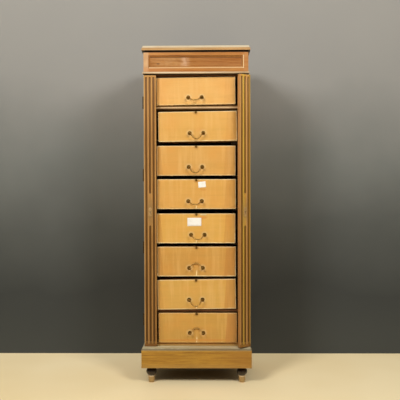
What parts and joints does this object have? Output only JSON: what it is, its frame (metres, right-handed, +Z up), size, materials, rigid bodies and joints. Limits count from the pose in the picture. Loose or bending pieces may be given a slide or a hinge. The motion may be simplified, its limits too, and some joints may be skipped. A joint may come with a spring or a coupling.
{
  "type": "eyeglass lens cabinet",
  "caption": "Tall wooden cabinet of drop-front boxes for eyeglass lenses, with hinged fluted locking stiles, a panelled frieze under a cornice, a moulded plinth and turned feet.",
  "frame": {"origin": "on the floor under the middle of the cabinet, measured over the plinth and the back", "axes": "+Z up, the drop fronts face -Y, X runs along the front"},
  "size_m": [0.536, 0.3996, 1.6477],
  "materials": {
    "case_wood": "worn, faded French polish",
    "worn_wood": "polish worn pale",
    "inner_wood": "bare",
    "box_wood": "bare",
    "drop_front_wood": "thin clear varnish",
    "aged_brass": "darkened",
    "lock_steel": "dull"
  },
  "bodies": {
    "carcass": {"side_panel_left": "case_wood", "side_panel_right": "case_wood", "back_panel": "inner_wood", "head_board": "inner_wood", "bottom_board": "inner_wood", "bottom_rail": "case_wood", "fixed_shelves": "inner_wood", "box_runners": "inner_wood", "front_posts": "case_wood", "top_board": "case_wood", "frieze_frame": "case_wood", "frieze_panel": "case_wood", "bead_moulding": "case_wood", "cornice": "worn_wood", "plinth": "case_wood", "plinth_moulding": "case_wood", "feet": "case_wood", "stile_hinge_plates": "aged_brass"},
    "left_stile": {"stile_left": "case_wood", "stile_hinge_leaves_left": "aged_brass", "lock_left": "lock_steel", "escutcheon_left": "aged_brass"},
    "right_stile": {"stile_right": "case_wood", "stile_hinge_leaves_right": "aged_brass", "lock_right": "lock_steel", "escutcheon_right": "aged_brass"},
    "left_bolt": {"lock_bolt_left": "aged_brass"},
    "right_bolt": {"lock_bolt_right": "aged_brass"},
    "box_1": {"box_1": "box_wood"},
    "drop_front_1": {"flap_1": "drop_front_wood", "flap_brass_1": "aged_brass"},
    "bail_1": {"bail_1": "aged_brass"},
    "box_2": {"box_2": "box_wood"},
    "drop_front_2": {"flap_2": "drop_front_wood", "flap_brass_2": "aged_brass"},
    "bail_2": {"bail_2": "aged_brass"},
    "box_3": {"box_3": "box_wood"},
    "drop_front_3": {"flap_3": "drop_front_wood", "flap_brass_3": "aged_brass"},
    "bail_3": {"bail_3": "aged_brass"},
    "box_4": {"box_4": "box_wood"},
    "drop_front_4": {"flap_4": "drop_front_wood", "flap_brass_4": "aged_brass"},
    "bail_4": {"bail_4": "aged_brass"},
    "box_5": {"box_5": "box_wood"},
    "drop_front_5": {"flap_5": "drop_front_wood", "flap_brass_5": "aged_brass"},
    "bail_5": {"bail_5": "aged_brass"},
    "box_6": {"box_6": "box_wood"},
    "drop_front_6": {"flap_6": "drop_front_wood", "flap_brass_6": "aged_brass"},
    "bail_6": {"bail_6": "aged_brass"},
    "box_7": {"box_7": "box_wood"},
    "drop_front_7": {"flap_7": "drop_front_wood", "flap_brass_7": "aged_brass"},
    "bail_7": {"bail_7": "aged_brass"},
    "box_8": {"box_8": "box_wood"},
    "drop_front_8": {"flap_8": "drop_front_wood", "flap_brass_8": "aged_brass"},
    "bail_8": {"bail_8": "aged_brass"}
  },
  "joints": [
    {"name": "left_stile_hinge", "type": "hinge", "parent": "carcass", "child": "left_stile", "pos_m": [-0.259, -0.151, 0.8441], "axis": [0, 0, -1], "range_deg": [0, 165]},
    {"name": "right_stile_hinge", "type": "hinge", "parent": "carcass", "child": "right_stile", "pos_m": [0.259, -0.151, 0.8441], "axis": [0, 0, 1], "range_deg": [-27, 138]},
    {"name": "left_lock_bolt", "type": "slide", "parent": "left_stile", "child": "left_bolt", "axis": [0, 1, 0], "range_m": [0, 0.007]},
    {"name": "right_lock_bolt", "type": "slide", "parent": "right_stile", "child": "right_bolt", "axis": [-0.454, 0.891, 0], "range_m": [0, 0.007]},
    {"name": "box_slide_1", "type": "slide", "parent": "carcass", "child": "box_1", "axis": [0, -1, 0], "range_m": [0, 0.28]},
    {"name": "flap_hinge_1", "type": "hinge", "parent": "box_1", "child": "drop_front_1", "pos_m": [0.00048, -0.1387, 1.3634], "axis": [0.9999, 0, 0.014], "range_deg": [0, 70]},
    {"name": "bail_swing_1", "type": "hinge", "parent": "drop_front_1", "child": "bail_1", "pos_m": [-0.00552, -0.1677, 1.39932], "axis": [-0.9999, 0, -0.014], "range_deg": [-83, 163]},
    {"name": "box_slide_2", "type": "slide", "parent": "carcass", "child": "box_2", "axis": [0, -1, 0], "range_m": [0, 0.28]},
    {"name": "flap_hinge_2", "type": "hinge", "parent": "box_2", "child": "drop_front_2", "pos_m": [0.00798, -0.1387, 1.18463], "axis": [0.9999, 0, 0.0131], "range_deg": [0, 70]},
    {"name": "bail_swing_2", "type": "hinge", "parent": "drop_front_2", "child": "bail_2", "pos_m": [0.00196, -0.1677, 1.22456], "axis": [-0.9999, 0, -0.0131], "range_deg": [-33, 213]},
    {"name": "box_slide_3", "type": "slide", "parent": "carcass", "child": "box_3", "axis": [0, -1, 0], "range_m": [0, 0.28]},
    {"name": "flap_hinge_3", "type": "hinge", "parent": "box_3", "child": "drop_front_3", "pos_m": [-0.0001, -0.1387, 1.0164], "axis": [1, 0, 0], "range_deg": [0, 70]},
    {"name": "bail_swing_3", "type": "hinge", "parent": "drop_front_3", "child": "bail_3", "pos_m": [-0.0036, -0.1677, 1.0584], "axis": [-1, 0, 0], "range_deg": [-33, 213]},
    {"name": "box_slide_4", "type": "slide", "parent": "carcass", "child": "box_4", "axis": [0, -1, 0], "range_m": [0, 0.28]},
    {"name": "flap_hinge_4", "type": "hinge", "parent": "box_4", "child": "drop_front_4", "pos_m": [0.0012, -0.1387, 0.8521], "axis": [1, 0, 0], "range_deg": [0, 70]},
    {"name": "bail_swing_4", "type": "hinge", "parent": "drop_front_4", "child": "bail_4", "pos_m": [-0.0062, -0.1677, 0.8907], "axis": [-1, 0, 0], "range_deg": [-91, 155]},
    {"name": "box_slide_5", "type": "slide", "parent": "carcass", "child": "box_5", "axis": [0, -1, 0], "range_m": [0, 0.28]},
    {"name": "flap_hinge_5", "type": "hinge", "parent": "box_5", "child": "drop_front_5", "pos_m": [-0.0013, -0.1387, 0.6833], "axis": [1, 0, 0], "range_deg": [0, 70]},
    {"name": "bail_swing_5", "type": "hinge", "parent": "drop_front_5", "child": "bail_5", "pos_m": [0.0072, -0.1677, 0.7248], "axis": [-1, 0, 0], "range_deg": [-78, 168]},
    {"name": "box_slide_6", "type": "slide", "parent": "carcass", "child": "box_6", "axis": [0, -1, 0], "range_m": [0, 0.28]},
    {"name": "flap_hinge_6", "type": "hinge", "parent": "box_6", "child": "drop_front_6", "pos_m": [0.0007, -0.1387, 0.5197], "axis": [1, 0, 0], "range_deg": [0, 70]},
    {"name": "bail_swing_6", "type": "hinge", "parent": "drop_front_6", "child": "bail_6", "pos_m": [-0.0025, -0.1677, 0.5614], "axis": [-1, 0, 0], "range_deg": [-246, 0]},
    {"name": "box_slide_7", "type": "slide", "parent": "carcass", "child": "box_7", "axis": [0, -1, 0], "range_m": [0, 0.28]},
    {"name": "flap_hinge_7", "type": "hinge", "parent": "box_7", "child": "drop_front_7", "pos_m": [0.00188, -0.1387, 0.3577], "axis": [0.9999, 0, 0.014], "range_deg": [0, 70]},
    {"name": "bail_swing_7", "type": "hinge", "parent": "drop_front_7", "child": "bail_7", "pos_m": [-0.00347, -0.1677, 0.40413], "axis": [-0.9999, 0, -0.014], "range_deg": [-33, 213]},
    {"name": "box_slide_8", "type": "slide", "parent": "carcass", "child": "box_8", "axis": [0, -1, 0], "range_m": [0, 0.28]},
    {"name": "flap_hinge_8", "type": "hinge", "parent": "box_8", "child": "drop_front_8", "pos_m": [0.0055, -0.1387, 0.1918], "axis": [1, 0, 0], "range_deg": [0, 70]},
    {"name": "bail_swing_8", "type": "hinge", "parent": "drop_front_8", "child": "bail_8", "pos_m": [0, -0.1677, 0.2402], "axis": [-1, 0, 0], "range_deg": [-246, 0]}
  ]
}
